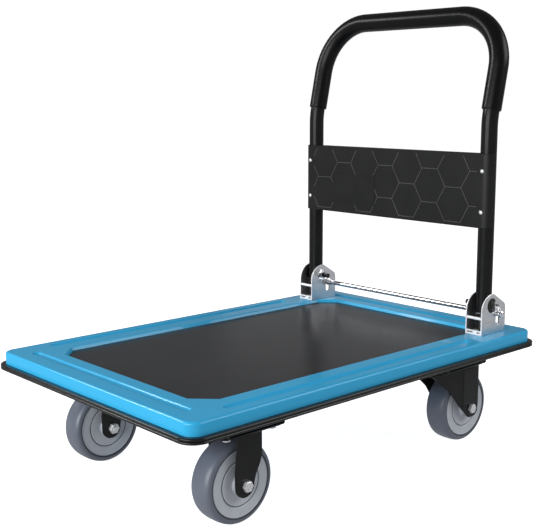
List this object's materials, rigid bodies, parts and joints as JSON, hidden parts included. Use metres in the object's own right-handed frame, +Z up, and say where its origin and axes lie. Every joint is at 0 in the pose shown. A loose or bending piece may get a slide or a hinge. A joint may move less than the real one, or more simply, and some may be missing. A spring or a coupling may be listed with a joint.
{
  "type": "folding platform cart",
  "caption": "Flat load deck with a raised blue rim, black mat and edge bumper, on fixed and swivel casters, with a fold-down tubular push handle and a foot-operated locking rod.",
  "frame": {"origin": "on the floor, under the middle of the deck", "axes": "+Z up, +Y toward the handle end, and +X the right-hand side as seen from the front edge, looking toward +Y"},
  "size_m": [0.6, 0.9, 0.8733],
  "materials": {
    "blue_paint": "gloss blue powder coat",
    "mat": "smooth satin charcoal",
    "bumper": "satin black",
    "black_steel": "gloss black paint",
    "chrome": "bright plated, finely brushed on the plates",
    "zinc": "bright zinc plate",
    "tube_gloss": "gloss black powder coat",
    "grip": "satin black vinyl",
    "panel": "satin black with faint lighter hexagon lines",
    "nylon": "black nylon",
    "tyre": "smooth blue-grey rubber",
    "hub": "light grey"
  },
  "bodies": {
    "chassis": {"deck_pan": "blue_paint", "deck_mat": "mat", "edge_bumper": "bumper", "front_cross_member": "black_steel", "rear_cross_member": "black_steel", "left_bracket": "chrome", "left_bracket_front_bolt": "zinc", "left_bracket_rear_bolt": "zinc", "left_pivot_bolt": "nylon", "left_pivot_nut": "zinc", "left_pivot_bush": "nylon", "left_foot_seat": "nylon", "left_spring": "zinc", "front_left_fork": "black_steel", "front_left_axle_bolt": "zinc", "front_left_axle_nut": "zinc", "front_left_axle_sleeve": "zinc", "rear_left_top_plate": "black_steel", "rear_left_kingpin": "zinc", "right_bracket": "chrome", "right_bracket_front_bolt": "zinc", "right_bracket_rear_bolt": "zinc", "right_pivot_bolt": "nylon", "right_pivot_nut": "zinc", "right_pivot_bush": "nylon", "right_foot_seat": "nylon", "right_spring": "zinc", "front_right_fork": "black_steel", "front_right_axle_bolt": "zinc", "front_right_axle_nut": "zinc", "front_right_axle_sleeve": "zinc", "rear_right_top_plate": "black_steel", "rear_right_kingpin": "zinc"},
    "handle": {"handle_tube": "tube_gloss", "handle_grip": "grip", "handle_panel": "panel", "left_lower_screw": "zinc", "left_upper_screw": "zinc", "right_lower_screw": "zinc", "right_upper_screw": "zinc"},
    "lock_rod": {"lock_rod": "chrome", "left_rod_collar": "chrome", "right_rod_collar": "chrome"},
    "rear_left_swivel": {"rear_left_fork": "black_steel", "rear_left_axle_bolt": "zinc", "rear_left_axle_nut": "zinc", "rear_left_axle_sleeve": "zinc"},
    "rear_right_swivel": {"rear_right_fork": "black_steel", "rear_right_axle_bolt": "zinc", "rear_right_axle_nut": "zinc", "rear_right_axle_sleeve": "zinc"},
    "front_left_wheel": {"front_left_hub": "hub", "front_left_tyre": "tyre"},
    "front_right_wheel": {"front_right_hub": "hub", "front_right_tyre": "tyre"},
    "rear_left_wheel": {"rear_left_hub": "hub", "rear_left_tyre": "tyre"},
    "rear_right_wheel": {"rear_right_hub": "hub", "rear_right_tyre": "tyre"}
  },
  "joints": [
    {"name": "handle_fold", "type": "hinge", "parent": "chassis", "child": "handle", "pos_m": [0, 0.343, 0.284], "axis": [1, 0, 0], "range_deg": [0, 90]},
    {"name": "lock_rod_slide", "type": "slide", "parent": "chassis", "child": "lock_rod", "axis": [0, 0, -1], "range_m": [0, 0.015], "stiffness_N_per_m": 800, "springref_m": -0.01, "deforming": ["left_spring", "right_spring"]},
    {"name": "rear_left_swivel_turn", "type": "hinge", "parent": "chassis", "child": "rear_left_swivel", "pos_m": [-0.195, 0.274, 0.16], "axis": [0, 0, 1], "continuous": true},
    {"name": "rear_right_swivel_turn", "type": "hinge", "parent": "chassis", "child": "rear_right_swivel", "pos_m": [0.195, 0.274, 0.16], "axis": [0, 0, 1], "continuous": true},
    {"name": "front_left_roll", "type": "hinge", "parent": "chassis", "child": "front_left_wheel", "pos_m": [-0.195, -0.284, 0.0715], "axis": [1, 0, 0], "continuous": true},
    {"name": "front_right_roll", "type": "hinge", "parent": "chassis", "child": "front_right_wheel", "pos_m": [0.195, -0.284, 0.0715], "axis": [1, 0, 0], "continuous": true},
    {"name": "rear_left_roll", "type": "hinge", "parent": "rear_left_swivel", "child": "rear_left_wheel", "pos_m": [-0.195, 0.318, 0.0715], "axis": [1, 0, 0], "continuous": true},
    {"name": "rear_right_roll", "type": "hinge", "parent": "rear_right_swivel", "child": "rear_right_wheel", "pos_m": [0.195, 0.318, 0.0715], "axis": [1, 0, 0], "continuous": true}
  ]
}
